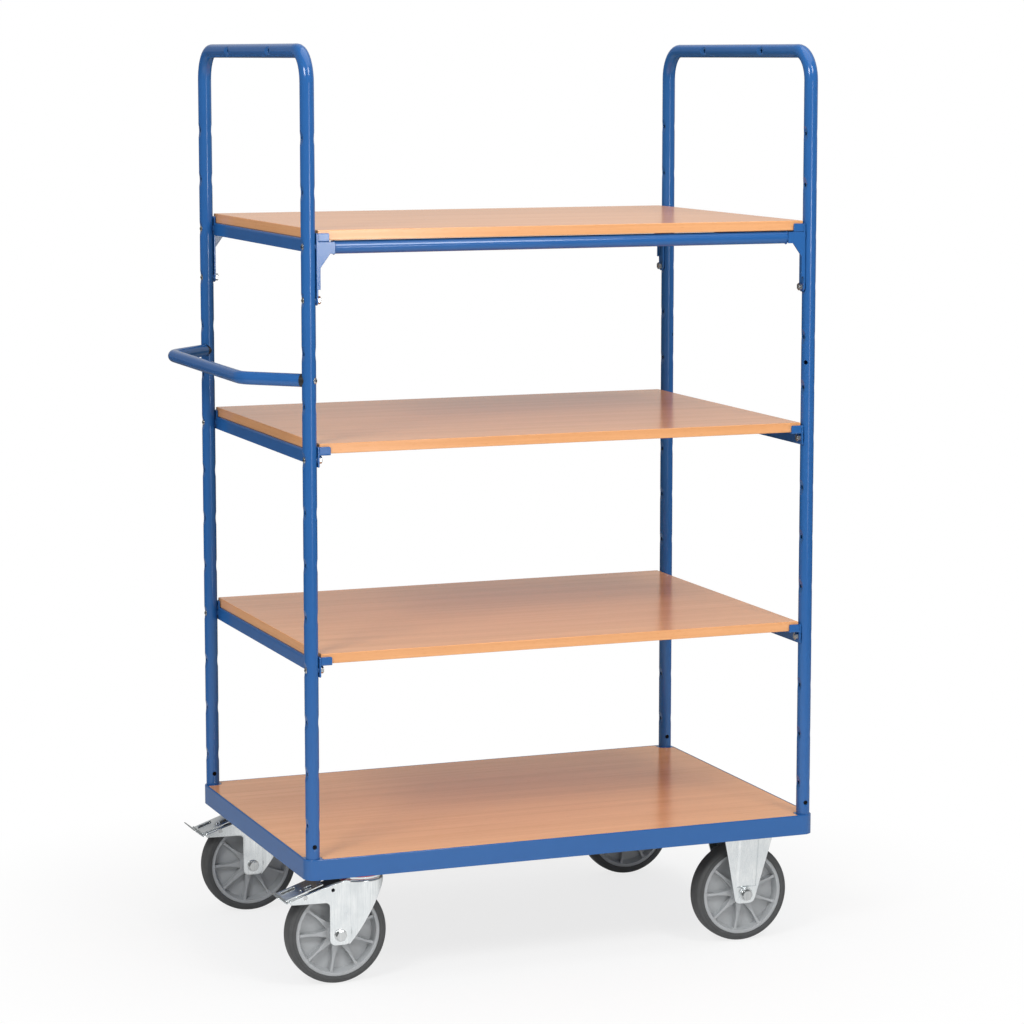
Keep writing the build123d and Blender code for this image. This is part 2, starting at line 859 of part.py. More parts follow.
def fork(y):
    """Pressed fork: a crown with a round nose, cut on a slant, and two side plates that carry the axle
    and run back as wings for the pedal."""
    mid = crown_top - fork_sheet / 2
    under = crown_top - fork_sheet
    cheek = (
        (cheek_rear, fork_low),
        (cheek_front, fork_low),
        (cheek_front, mid),
        (crown_rear, crown_top),
        *wing,
        (cheek_rear, wing_low),
    )
    cheek_radii = [cheek_foot, cheek_foot, 0, 0, wing_bend, wing_tip, wing_tip, wing_root]
    bay = (
        (wing[1][0] - cut_past, fork_low - cut_past),
        (cheek_front + cut_past, fork_low - cut_past),
        (cheek_front + cut_past, under),
        (-nose_r, under),
        (-nose_r, crown_top + cut_past),
        (wing[1][0] - cut_past, crown_top + cut_past),
    )
    opening = (
        (-nose_r - cut_past, under),
        (nose_slant[0][0], under),
        *nose_slant,
        (nose_r + cut_past, fork_low - cut_past),
        (-nose_r - cut_past, fork_low - cut_past),
    )
    with BuildPart() as nose:
        # Turned about the swivel axis, then opened behind and below
        with BuildSketch(end(swivel_x, y)):
            with BuildLine():
                FilletPolyline(
                    (pin_r + running_gap, mid),
                    (nose_r - fork_sheet / 2, mid),
                    (nose_r - fork_sheet / 2, fork_low),
                    radius=crown_bend,
                )
            trace(line_width=fork_sheet)
        revolve(axis=Axis((deck_x + swivel_x, y, 0), (0, 0, 1)))
        with BuildSketch(side(y, swivel_x)):
            with BuildLine():
                Polyline(*opening, close=True)
            make_face()
        extrude(amount=nose_r + cut_past, both=True, mode=Mode.SUBTRACT)
    with BuildPart() as body:
        # Side plates with round edges, and the space for the wheel and the pedal between them
        with BuildSketch(side(y, swivel_x)):
            with BuildLine():
                FilletPolyline(*cheek, radius=cheek_radii, close=True)
            make_face()
        extrude(amount=fork_half, both=True)
        fillet(body.faces().filter_by(Axis.Y).edges(), fork_edge)
        add(nose.part)
        with BuildSketch(side(y, swivel_x)):
            with BuildLine():
                Polyline(*bay, close=True)
            make_face()
        extrude(amount=fork_in, both=True, mode=Mode.SUBTRACT)
        with BuildSketch(side(y, swivel_x)):
            with Locations((-trail, axle_z)):
                Circle(axle_hole_r)
            with Locations(fork_peep):
                Circle(fork_peep_r)
            with Locations(pedal_pivot):
                Circle(pedal_pin_r)
        extrude(amount=fork_half, both=True, mode=Mode.SUBTRACT)
        # Collar that covers the balls
        with BuildSketch(level(crown_top + collar_height, swivel_x, y)):
            Circle(collar_r[1])
            Circle(collar_r[0], mode=Mode.SUBTRACT)
        extrude(amount=-collar_height - collar_root)
    return body


def pedal_pin(y):
    with BuildPart() as pin:
        with BuildSketch(side(y, swivel_x)):
            with Locations(pedal_pivot):
                Circle(pedal_pin_r)
        extrude(amount=fork_half, both=True)
    return pin


def brake_pedal(y):
    """Slotted tread with side flanges on the pivot and a bent-up flap for the toe."""
    with BuildPart() as lever:
        with BuildSketch(tread(y)):
            with Locations(((pedal_front + pedal_rear) / 2, pedal_top - pedal_sheet / 2)):
                Rectangle(pedal_front - pedal_rear, pedal_sheet)
        extrude(amount=pedal_half, both=True)
        with BuildSketch(tread(y)):
            with BuildLine():
                FilletPolyline(*flap_path, radius=flap_sheet)
            trace(line_width=flap_sheet)
        extrude(amount=flap_half, both=True)
        # Round the toe corners of the flap
        toes = lever.edges().filter_by(lambda e: abs(e.length - flap_sheet) < 0.01).sort_by(Axis.X)[:2]
        fillet(toes, toe_corner)
        for s in (-1, 1):
            with BuildSketch(tread(y + s * pedal_half)):
                with Locations((sum(flange_span) / 2, (pedal_top + flange_low) / 2)):
                    Rectangle(flange_span[1] - flange_span[0], pedal_top - flange_low)
                Circle(pedal_boss_r)
                Circle(pedal_pin_r + running_gap, mode=Mode.SUBTRACT)
            extrude(amount=s * pedal_sheet)
        with BuildSketch(tread_top(y)):
            with Locations(long_slot_place):
                SlotOverall(*long_slot)
            with Locations(short_slot_place):
                SlotOverall(*short_slot)
        extrude(amount=-pedal_sheet, mode=Mode.SUBTRACT)
        with BuildSketch(tread_top(y)):
            with Locations(tread_rivet_place):
                Circle(tread_rivet_r)
        extrude(amount=tread_rivet_height, taper=tread_rivet_taper)
    return lever


def brake_shoe(y):
    """Rubber block under the tread, hollowed to the tyre as it stands when the pedal is down."""
    slope = radians(pedal_slope)
    turn = radians(pedal_slope + pedal_travel)
    wheel = (-trail - pedal_pivot[0], axle_z - pedal_pivot[1])
    centre = (wheel[0] * cos(turn) + wheel[1] * sin(turn), wheel[1] * cos(turn) - wheel[0] * sin(turn))
    face_r = wheel_r + shoe_gap
    angles = [radians(a) - slope for a in shoe_angles]
    feet = [(centre[0] + face_r * cos(a), centre[1] + face_r * sin(a)) for a in angles]
    under = pedal_top - pedal_sheet
    with BuildPart() as block:
        with BuildSketch(tread(y)):
            with BuildLine():
                RadiusArc(feet[0], feet[1], -face_r)
                Polyline(feet[1], (feet[1][0], under), (feet[0][0], under), feet[0])
            make_face()
        extrude(amount=shoe_half, both=True)
    return block


os.makedirs("parts", exist_ok=True)

keep(base(), "base_frame")
keep(deck(), "deck_board")
keep(hoop(-1), "left_hoop")
keep(hoop(1), "right_hoop")

foot_screw = round_bolt(foot_head_r, foot_head_height, foot_screw_r, foot_screw_bite)
foot_planes = [
    Plane(
        origin=(deck_x + hand * post_x, s * (post_y + spigot_r), foot_screw_z), z_dir=(0, -s, 0)
    )
    for hand, s in corners
]
keep(placed(foot_screw, foot_planes), "hoop_screws")

for name, z in zip(("lower", "middle", "top"), shelf_levels):
    keep(shelf(z), f"{name}_shelf_board")
for name, z in zip(("lower", "middle"), shelf_levels):
    keep(end_rail(-1, z), f"{name}_shelf_rail_left")
    keep(end_rail(1, z), f"{name}_shelf_rail_right")
top_rails = [end_rail(hand, shelf_levels[2]) for hand in (-1, 1)]
keep(welded_frame(top_rails, shelf_levels[2]), "top_shelf_frame")

shelf_bolt = dome_bolt(head_seat + post_r + rail_sheet + nut_height + thread_past_nut)
shelf_nut = hex_nut(nut_flats, nut_height, bolt_r)
seat_planes = [inward(hand, post_x + head_seat, s * post_y, z) for hand, s, z in bolt_places]
rail_planes = [inward(hand, rail_x - rail_sheet, s * post_y, z) for hand, s, z in bolt_places]
keep(placed(shelf_bolt, seat_planes), "shelf_bolts")
keep(placed(shelf_nut, rail_planes), "shelf_nuts")

deck_screw = round_bolt(wood_head_r, wood_head_height, wood_screw_r, rail_sheet + wood_screw_bite)
screw_planes = [level(mount_top, x, y) for x, y in deck_screws]
for z in shelf_levels:
    for hand, s in corners:
        screw_planes.append(level(z + rail_rise - rail_sheet, hand * board_screw_x, s * board_screw_y))
keep(placed(deck_screw, screw_planes), "board_screws")

keep(handle(), "push_handle")
keep(inserts(), "handle_inserts")
keep(spacers(), "handle_spacers")
handle_bolt = dome_bolt(post_r + stand_off + insert_grip)
keep(placed(handle_bolt, [arm(-1, s, -post_r) for s in (-1, 1)]), "handle_bolts")

bolt_planes = []
nut_planes = []
for x, y in caster_places:
    for dx in (-plate_bolts_x / 2, plate_bolts_x / 2):
        for dy in (-plate_bolts_y / 2, plate_bolts_y / 2):
            place = (deck_x + x + dx, y + dy)
            bolt_planes.append(Plane(origin=(*place, mount_top), x_dir=(1, 0, 0), z_dir=(0, 0, -1)))
            nut_planes.append(Plane(origin=(*place, plate_low), x_dir=(1, 0, 0), z_dir=(0, 0, -1)))
caster_grip = cross_sheet + plate_sheet + caster_nut_height + thread_past_nut
caster_bolt = round_bolt(caster_head_r, caster_head_height, caster_bolt_r, caster_grip)
keep(placed(caster_bolt, bolt_planes), "caster_bolts")
keep(placed(hex_nut(caster_nut_flats, caster_nut_height, caster_bolt_r), nut_planes), "caster_nuts")

fixed_places = [(fixed_x, -caster_y), (fixed_x, caster_y)]
keep(axle_bolts(fixed_places, boss_axle_reach[1]), "fixed_axle_bolts")
keep(axle_nuts(fixed_places, boss_axle_reach[1]), "fixed_axle_nuts")
keep(sleeves(fixed_places, boss_axle_reach[0]), "fixed_axle_sleeves")
keep(kingpins(), "kingpins")
keep(head_rings(race_r, race_lift), "ball_rings")
keep(head_rings(seal_r, seal_lift), "swivel_seals")

for row, y in (("front", -caster_y), ("back", caster_y)):
    keep(bracket(y), f"fixed_bracket_{row}")
    keep(swivel_plate(y), f"swivel_plate_{row}")
    keep(fork(y), f"fork_{row}")
    keep(pedal_pin(y), f"pedal_pin_{row}")
    keep(brake_pedal(y), f"brake_pedal_{row}")
    keep(brake_shoe(y), f"brake_shoe_{row}")
    keep(axle_bolts([(wheel_x, y)], fork_half), f"fork_axle_bolt_{row}")
    keep(axle_nuts([(wheel_x, y)], fork_half), f"fork_axle_nut_{row}")
    keep(sleeves([(wheel_x, y)], fork_in), f"fork_axle_sleeve_{row}")
    for kind, x in (("swivel", wheel_x), ("fixed", fixed_x)):
        keep(rim(x, y), f"{kind}_rim_{row}")
        keep(tyre(x, y), f"{kind}_tyre_{row}")
        keep(bearings(x, y), f"{kind}_bearings_{row}")
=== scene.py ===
import math
import bpy
from mathutils import Matrix, Vector


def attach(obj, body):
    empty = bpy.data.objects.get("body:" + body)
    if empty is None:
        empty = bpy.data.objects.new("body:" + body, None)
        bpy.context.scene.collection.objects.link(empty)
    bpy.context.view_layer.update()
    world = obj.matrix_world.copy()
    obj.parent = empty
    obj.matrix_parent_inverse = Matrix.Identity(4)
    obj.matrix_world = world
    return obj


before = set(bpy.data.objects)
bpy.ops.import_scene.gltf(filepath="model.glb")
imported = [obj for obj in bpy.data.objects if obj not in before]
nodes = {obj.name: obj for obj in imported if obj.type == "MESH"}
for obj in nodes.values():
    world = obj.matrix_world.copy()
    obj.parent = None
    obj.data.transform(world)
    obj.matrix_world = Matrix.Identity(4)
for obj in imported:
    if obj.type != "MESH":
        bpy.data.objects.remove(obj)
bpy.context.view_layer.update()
mm = 0.001


# Colour and node helpers

def linear(code):
    """Turns an sRGB hex colour into linear RGBA."""
    parts = [int(code[i:i + 2], 16) / 255 for i in (0, 2, 4)]
    return [p / 12.92 if p <= 0.04045 else ((p + 0.055) / 1.055) ** 2.4 for p in parts] + [1.0]


def add(tree, kind, settings, inputs):
    """Adds one node, sets its properties, and gives each input a value or a link."""
    made = tree.nodes.new("ShaderNode" + kind)
    for name, value in settings.items():
        setattr(made, name, value)
    for name, value in inputs.items():
        if isinstance(value, bpy.types.NodeSocket):
            tree.links.new(value, made.inputs[name])
        else:
            made.inputs[name].default_value = value
    return made


def blank(name):
    """A new material with an empty node tree."""
    made = bpy.data.materials.new(name)
    made.use_nodes = True
    made.node_tree.nodes.clear()
    return made, made.node_tree


# Sockets of the mix node: its share, then what it mixes as numbers, vectors or colours
SHARE = 0
NUMBER_A, NUMBER_B = 2, 3
VECTOR_A, VECTOR_B, VECTOR_OUT = 4, 5, 1
COLOUR_A, COLOUR_B, COLOUR_OUT = 6, 7, 2

# Settings that several materials share
AS_COLOURS = {"data_type": "RGBA"}
AS_VECTORS = {"data_type": "VECTOR"}
SMOOTH_STEP = {"interpolation_type": "SMOOTHSTEP"}
EDGE_RAYS = {"samples": 6}

# A surface faces along an axis where its normal's part along that axis is over this share
FACING = 0.6


# Materials

def powder_coat():
    """Blue powder coat, sprayed and baked: an even colour with a clear gloss, a faint orange peel and edges
    that the coat rounds, so that they draw a thin line of light."""
    made, tree = blank("powder_coated_steel")
    place = add(tree, "TexCoord", {}, {}).outputs["Object"]
    # film thickness changes over about 90 mm and shifts the tone a little
    film = add(tree, "TexNoise", {}, {"Vector": place, "Scale": 1 / (90 * mm), "Detail": 3.0})
    tone = add(tree, "Mix", AS_COLOURS, {
        SHARE: film.outputs[0], COLOUR_A: linear("235A99"), COLOUR_B: linear("28609F")})
    # the coat flows round edges at about 1 mm radius
    flow = add(tree, "Bevel", EDGE_RAYS, {"Radius": 1 * mm})
    # the peel is about 3 mm from crest to crest
    peel = add(tree, "TexNoise", {}, {"Vector": place, "Scale": 1 / (3 * mm), "Detail": 1.0})
    relief = add(tree, "Bump", {}, {
        "Strength": 0.02, "Distance": 0.3 * mm, "Height": peel.outputs[0], "Normal": flow.outputs[0]})
    gloss = add(tree, "MapRange", {}, {"Value": film.outputs[0], "To Min": 0.13, "To Max": 0.19})
    shader = add(tree, "BsdfPrincipled", {}, {
        "Base Color": tone.outputs[COLOUR_OUT], "Roughness": gloss.outputs[0], "IOR": 1.5,
        "Normal": relief.outputs[0]})
    add(tree, "OutputMaterial", {}, {"Surface": shader.outputs[0]})
    return made


def beech_laminate(name, face_light, face_dark, edge_light, edge_dark, under):
    """Beech print under a satin melamine skin: long fine grain, short flecks, an edge strip of its own tone
    and a plain colour below; the deck's dark colour below is painted shade for the shadow under it."""
    made, tree = blank(name)
    where = add(tree, "TexCoord", {}, {})
    way = add(tree, "SeparateXYZ", {}, {0: where.outputs["Normal"]})
    upright = add(tree, "Math", {"operation": "ABSOLUTE"}, {0: way.outputs["Z"]})
    on_edge = add(tree, "Math", {"operation": "LESS_THAN"}, {0: upright.outputs[0], 1: FACING})
    endwise = add(tree, "Math", {"operation": "ABSOLUTE"}, {0: way.outputs["X"]})
    on_end = add(tree, "Math", {"operation": "GREATER_THAN"}, {0: endwise.outputs[0], 1: FACING})
    below = add(tree, "Math", {"operation": "LESS_THAN"}, {0: way.outputs["Z"], 1: -FACING})
    # the edge strip's grain runs along the edge, so the end edges are turned a quarter
    turned = add(tree, "VectorRotate", {"rotation_type": "Z_AXIS"}, {
        "Vector": where.outputs["Object"], "Angle": math.pi / 2})
    along = add(tree, "Mix", AS_VECTORS, {
        SHARE: on_end.outputs[0], VECTOR_A: where.outputs["Object"],
        VECTOR_B: turned.outputs[0]}).outputs[VECTOR_OUT]
    # broad bands, 30 mm wide and 700 mm long
    stretch = add(tree, "Mapping", {}, {
        "Vector": along, "Scale": (1 / (700 * mm), 1 / (30 * mm), 1 / (30 * mm))})
    bands = add(tree, "TexNoise", {}, {
        "Vector": stretch.outputs[0], "Scale": 1.0, "Detail": 3.0, "Distortion": 0.4})
    # grain lines, 4 mm apart and 280 mm long, drawn coarser than the real 1 mm so that they show
    stretch = add(tree, "Mapping", {}, {
        "Vector": along, "Scale": (1 / (280 * mm), 1 / (4 * mm), 1 / (4 * mm))})
    lines = add(tree, "TexNoise", {}, {
        "Vector": stretch.outputs[0], "Scale": 1.0, "Detail": 4.0, "Roughness": 0.6})
    # flecks of the rays, 2 mm wide and 14 mm long, twice the real size so that they show
    stretch = add(tree, "Mapping", {}, {
        "Vector": along, "Scale": (1 / (14 * mm), 1 / (2 * mm), 1 / (2 * mm))})
    flecks = add(tree, "TexNoise", {}, {"Vector": stretch.outputs[0], "Scale": 1.0, "Detail": 1.0})
    sparse = add(tree, "MapRange", {}, {"Value": flecks.outputs[0], "From Min": 0.6, "From Max": 0.78})
    grain = add(tree, "MapRange", {}, {"Value": lines.outputs[0], "From Min": 0.3, "From Max": 0.7})
    band = add(tree, "MapRange", {}, {"Value": bands.outputs[0], "From Min": 0.3, "From Max": 0.7})
    # the dark tone's share: half of it from the grain, half from the bands, and more in the flecks
    both = add(tree, "Math", {"operation": "ADD"}, {0: grain.outputs[0], 1: band.outputs[0]})
    half = add(tree, "Math", {"operation": "MULTIPLY"}, {0: both.outputs[0], 1: 0.5})
    darker = add(tree, "Math", {"operation": "MULTIPLY_ADD"}, {
        0: sparse.outputs[0], 1: 0.5, 2: half.outputs[0]})
    face = add(tree, "Mix", AS_COLOURS, {
        SHARE: darker.outputs[0], COLOUR_A: linear(face_light), COLOUR_B: linear(face_dark)})
    edge = add(tree, "Mix", AS_COLOURS, {
        SHARE: darker.outputs[0], COLOUR_A: linear(edge_light), COLOUR_B: linear(edge_dark)})
    wood = add(tree, "Mix", AS_COLOURS, {
        SHARE: on_edge.outputs[0], COLOUR_A: face.outputs[COLOUR_OUT], COLOUR_B: edge.outputs[COLOUR_OUT]})
    # downward faces take the under colour: on the deck it is painted shade, dark as the shadow beneath it,
    # on the shelves the plain sheet's own tone
    colour = add(tree, "Mix", AS_COLOURS, {
        SHARE: below.outputs[0], COLOUR_A: wood.outputs[COLOUR_OUT], COLOUR_B: linear(under)})
    relief = add(tree, "Bump", {}, {"Strength": 0.08, "Distance": 0.1 * mm, "Height": lines.outputs[0]})
    gloss = add(tree, "MapRange", {}, {"Value": lines.outputs[0], "To Min": 0.14, "To Max": 0.24})
    shader = add(tree, "BsdfPrincipled", {}, {
        "Base Color": colour.outputs[COLOUR_OUT], "Roughness": gloss.outputs[0], "IOR": 1.45,
        "Normal": relief.outputs[0]})
    add(tree, "OutputMaterial", {}, {"Surface": shader.outputs[0]})
    return made


def zinc_plate(name, light, dark, sharp):
    """Bright zinc plate on steel: a cool even shine with faint drawn streaks, and edges rounded by
    tumbling."""
    made, tree = blank(name)
    place = add(tree, "TexCoord", {}, {}).outputs["Object"]
    # clouds of the passivation bath, about 30 mm across
    clouds = add(tree, "TexNoise", {}, {
        "Vector": place, "Scale": 1 / (30 * mm), "Detail": 3.0, "Distortion": 0.5})
    # streaks from drawing the sheet, 2 mm wide and 60 mm long up the part
    stretch = add(tree, "Mapping", {}, {
        "Vector": place, "Scale": (1 / (2 * mm), 1 / (2 * mm), 1 / (60 * mm))})
    streaks = add(tree, "TexNoise", {}, {"Vector": stretch.outputs[0], "Scale": 1.0, "Detail": 2.0})
    both = add(tree, "Math", {"operation": "MULTIPLY"}, {0: clouds.outputs[0], 1: streaks.outputs[0]})
    share = add(tree, "MapRange", {}, {"Value": both.outputs[0], "From Min": 0.1, "From Max": 0.45})
    tone = add(tree, "Mix", AS_COLOURS, {
        SHARE: share.outputs[0], COLOUR_A: linear(dark), COLOUR_B: linear(light)})
    gloss = add(tree, "MapRange", {}, {
        "Value": both.outputs[0], "From Min": 0.1, "From Max": 0.45,
        "To Min": sharp + 0.08, "To Max": sharp})
    # tumbling rounds the sheared edges to about 1.2 mm
    worn = add(tree, "Bevel", EDGE_RAYS, {"Radius": 1.2 * mm})
    relief = add(tree, "Bump", {}, {
        "Strength": 0.05, "Distance": 0.15 * mm, "Height": clouds.outputs[0], "Normal": worn.outputs[0]})
    shader = add(tree, "BsdfPrincipled", {}, {
        "Base Color": tone.outputs[COLOUR_OUT], "Metallic": 1.0, "Roughness": gloss.outputs[0],
        "Normal": relief.outputs[0]})
    add(tree, "OutputMaterial", {}, {"Surface": shader.outputs[0]})
    return made


def moulded(name, light, dark, speck, rough, index, edge=0.3):
    """Moulded plastic or rubber: a soft mottling from the melt, a fine grain from the tool, with its specks
    in mm, and edges as round as the tool leaves them, in mm, that draw a thin line of light."""
    made, tree = blank(name)
    place = add(tree, "TexCoord", {}, {}).outputs["Object"]
    # the melt's mottling is about 22 mm across
    flow = add(tree, "TexNoise", {}, {
        "Vector": place, "Scale": 1 / (22 * mm), "Detail": 4.0, "Distortion": 0.5})
    tone = add(tree, "Mix", AS_COLOURS, {
        SHARE: flow.outputs[0], COLOUR_A: linear(dark), COLOUR_B: linear(light)})
    # the tool's grain is drawn at 1 mm or more, coarser than the real one, so that it shows
    grit = add(tree, "TexNoise", {}, {"Vector": place, "Scale": 1 / (speck * mm), "Detail": 2.0})
    soft = add(tree, "Bevel", EDGE_RAYS, {"Radius": edge * mm})
    relief = add(tree, "Bump", {}, {
        "Strength": 0.15, "Distance": 0.1 * mm, "Height": grit.outputs[0], "Normal": soft.outputs[0]})
    gloss = add(tree, "MapRange", {}, {
        "Value": grit.outputs[0], "From Min": 0.3, "From Max": 0.7,
        "To Min": rough - 0.06, "To Max": rough + 0.06})
    shader = add(tree, "BsdfPrincipled", {}, {
        "Base Color": tone.outputs[COLOUR_OUT], "Roughness": gloss.outputs[0], "IOR": index,
        "Normal": relief.outputs[0]})
    add(tree, "OutputMaterial", {}, {"Surface": shader.outputs[0]})
    return made


def machined(name, light, dark, rough):
    """Turned or rolled steel: small changes of tone and shine, as the tool leaves them."""
    made, tree = blank(name)
    place = add(tree, "TexCoord", {}, {}).outputs["Object"]
    # tool marks, drawn 2 mm across, coarser than the real ones so that they show
    fine = add(tree, "TexNoise", {}, {"Vector": place, "Scale": 1 / (2 * mm), "Detail": 3.0})
    tone = add(tree, "Mix", AS_COLOURS, {
        SHARE: fine.outputs[0], COLOUR_A: linear(dark), COLOUR_B: linear(light)})
    gloss = add(tree, "MapRange", {}, {
        "Value": fine.outputs[0], "To Min": rough - 0.08, "To Max": rough + 0.08})
    shader = add(tree, "BsdfPrincipled", {}, {
        "Base Color": tone.outputs[COLOUR_OUT], "Metallic": 1.0, "Roughness": gloss.outputs[0]})
    add(tree, "OutputMaterial", {}, {"Surface": shader.outputs[0]})
    return made


def looked_at(tree):
    """1 for rays from the eye, straight, by gloss or through glass, and 0 for rays that only carry light."""
    ray = add(tree, "LightPath", {}, {})
    direct = add(tree, "Math", {"operation": "ADD"}, {
        0: ray.outputs["Is Camera Ray"], 1: ray.outputs["Is Glossy Ray"]})
    return add(tree, "Math", {"operation": "ADD", "use_clamp": True}, {
        0: direct.outputs[0], 1: ray.outputs["Is Transmission Ray"]}).outputs[0]


def studio_white():
    """Painted studio floor: matt white with a soft shadow round the trolley, white to the eye further out.
    In gloss it glows as painted light in front of the trolley, and dimmer, as painted shade, behind it, to
    its right and in the far hall."""
    made, tree = blank("studio_white_paint")
    place = add(tree, "TexCoord", {}, {}).outputs["Object"]
    apart = add(tree, "VectorMath", {"operation": "LENGTH"}, {0: place})
    far = add(tree, "MapRange", SMOOTH_STEP, {
        "Value": apart.outputs["Value"], "From Min": 0.5, "From Max": 1.35, "To Min": 0.78, "To Max": 1.0})
    white = add(tree, "Math", {"operation": "MULTIPLY"}, {0: looked_at(tree), 1: far.outputs[0]})
    matt = add(tree, "BsdfDiffuse", {}, {"Color": linear("F0F0F0")})
    # in gloss the floor's glow is painted light: full in front of the trolley and, as painted shade, dimmer
    # with distance, behind it and to its right
    near = add(tree, "MapRange", SMOOTH_STEP, {
        "Value": apart.outputs["Value"], "From Min": 1.5, "From Max": 5.0, "To Min": 1.0, "To Max": 0.2})
    split = add(tree, "SeparateXYZ", {}, {0: place})
    behind = add(tree, "MapRange", SMOOTH_STEP, {
        "Value": split.outputs["Y"], "From Min": -0.5, "From Max": 0.5, "To Min": 1.0, "To Max": 0.38})
    beside = add(tree, "MapRange", SMOOTH_STEP, {
        "Value": split.outputs["X"], "From Min": 0.1, "From Max": 0.9, "To Min": 1.0, "To Max": 0.78})
    near_front = add(tree, "Math", {"operation": "MULTIPLY"}, {0: near.outputs[0], 1: behind.outputs[0]})
    mirrored = add(tree, "Math", {"operation": "MULTIPLY"}, {0: near_front.outputs[0], 1: beside.outputs[0]})
    gloss = add(tree, "LightPath", {}, {}).outputs["Is Glossy Ray"]
    painted_gloss_light = add(tree, "Mix", {}, {SHARE: gloss, NUMBER_A: 1.0, NUMBER_B: mirrored.outputs[0]})
    glow = add(tree, "Emission", {}, {"Color": linear("FFFFFF"), "Strength": painted_gloss_light.outputs[0]})
    shader = add(tree, "MixShader", {}, {0: white.outputs[0], 1: matt.outputs[0], 2: glow.outputs[0]})
    add(tree, "OutputMaterial", {}, {"Surface": shader.outputs[0]})
    return made


paint = powder_coat()
# the deck's under colour, 6E5A4A, is painted shade for the shadow under the deck
deck_laminate = beech_laminate("beech_laminate_deck", "F2AE74", "DC985C", "E2A66E", "CE9056", "6E5A4A")
shelf_laminate = beech_laminate("beech_laminate_shelf", "F0AC72", "DA975C", "EAAE7C", "D89862", "D8A070")
zinc = zinc_plate("zinc_plated_sheet", "F2F5F5", "E0E5E7", 0.2)
bolt_zinc = zinc_plate("zinc_plated_bolts", "D8DADA", "C2C5C6", 0.18)
black_oxide = machined("black_oxide_steel", "2A2A2C", "161618", 0.4)
ground_steel = machined("ground_bearing_steel", "D4D6D8", "B4B7BA", 0.22)
red_seal = moulded("red_nitrile_seal", "E83038", "D0282E", 1.5, 0.5, 1.5)
black_nylon = moulded("black_nylon", "1E1E1F", "131314", 1.2, 0.45, 1.53)
# the plugs are near black with a low index, so they show almost no shine: painted shade for the dark inside
# the screw holes
hole_shade_black = moulded("black_polyethylene_hole_shade", "0A0A0B", "060607", 1.0, 0.8, 1.2)
brake_rubber = moulded("black_brake_rubber", "222222", "161616", 1.5, 0.65, 1.5)
tyre_rubber = moulded("grey_solid_rubber", "525354", "454646", 1.6, 0.66, 1.45)
# the rims' ribs and lips are rounded more than the other mouldings
rim_plastic = moulded("grey_polypropylene", "B0B3B5", "A2A5A7", 1.4, 0.34, 1.49, 1.5)

rows = ("front", "back")
wheels = [kind + "_" + row for kind in ("swivel", "fixed") for row in rows]
finishes = [
    (paint, ["base_frame", "left_hoop", "right_hoop", "top_shelf_frame", "push_handle",
             "lower_shelf_rail_left", "lower_shelf_rail_right",
             "middle_shelf_rail_left", "middle_shelf_rail_right"]),
    (deck_laminate, ["deck_board"]),
    (shelf_laminate, ["lower_shelf_board", "middle_shelf_board", "top_shelf_board"]),
    (black_oxide, ["hoop_screws"]),
    (red_seal, ["swivel_seals"]),
    (black_nylon, ["handle_inserts", "handle_spacers"]),
    (brake_rubber, ["brake_shoe_" + row for row in rows]),
    (tyre_rubber, [wheel.replace("_", "_tyre_") for wheel in wheels]),
    (rim_plastic, [wheel.replace("_", "_rim_") for wheel in wheels]),
    (ground_steel, [wheel.replace("_", "_bearings_") for wheel in wheels] + ["ball_rings"]),
]
# every other solid is zinc plated, as a fixing or as sheet
dressed = {name for finish, names in finishes for name in names}
plated = [name for name in nodes if name not in dressed]
fixing_words = ("bolt", "nut", "screw", "pin", "sleeve")
fixings = [name for name in plated if any(word in name for word in fixing_words)]
finishes.append((bolt_zinc, fixings))
finishes.append((zinc, [name for name in plated if name not in fixings]))
for finish, names in finishes:
    for name in names:
        nodes[name].data.materials.clear()
        nodes[name].data.materials.append(finish)


# Places and sizes of the solids that carry the small pieces, in mm

deck_x = 48.25
post_x = 518
post_y = 344
post_r = 13.5
dent_r = 40
dent_depth = 3.2
foot_screw_z = 285
foot_dent_r = 18
foot_dent_depth = 1.5
bolt_levels = (625, 1025, 1425, 1325)
dome_r = 6.5
dome_height = 2.6
top_tube_y = 339
top_tube_z = 1423
handle_x = 620
handle_y = 245
handle_z = 1175
caster_y = 292
axle_z = 100
swivel_wheel_x = -458
fixed_wheel_x = 400
fork_half = 36
boss_reach = 39.5
pedal_pivot_x = -528
pedal_pivot_z = 180
pedal_slope = 18.9

corners = [(hand, s) for hand in (-1, 1) for s in (-1, 1)]
caster_rows = (("front", -caster_y), ("back", caster_y))


def spot(along, across, up):
    """A place in metres, from mm along from the deck's middle, across from the middle line and up from the
    floor."""
    return Vector(((deck_x + along) * mm, across * mm, up * mm))


# Shapes of the small pieces

def piece(name, points, faces, material, body, smooth):
    """Makes one piece from metres, with its material, and lets it ride on a body."""
    mesh = bpy.data.meshes.new(name)
    mesh.from_pydata(points, [], faces)
    mesh.validate()
    mesh.polygons.foreach_set("use_smooth", [smooth] * len(mesh.polygons))
    mesh.materials.append(material)
    made = bpy.data.objects.new(name, mesh)
    bpy.context.scene.collection.objects.link(made)
    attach(made, body)


def join_rings(faces, first, rings, turns, round_again=False):
    """Adds the faces between rings of points that follow each other, and round again from the last to the
    first."""
    for ring in range(rings if round_again else rings - 1):
        here = first + turns * ring
        there = first + turns * ((ring + 1) % rings)
        for k in range(turns):
            after = (k + 1) % turns
            faces.append((here + k, here + after, there + after, there + k))


def cap_rings(faces, first, rings, turns):
    """Closes the first and the last of several rings."""
    last = first + turns * (rings - 1)
    faces.append(tuple(first + k for k in reversed(range(turns))))
    faces.append(tuple(last + k for k in range(turns)))


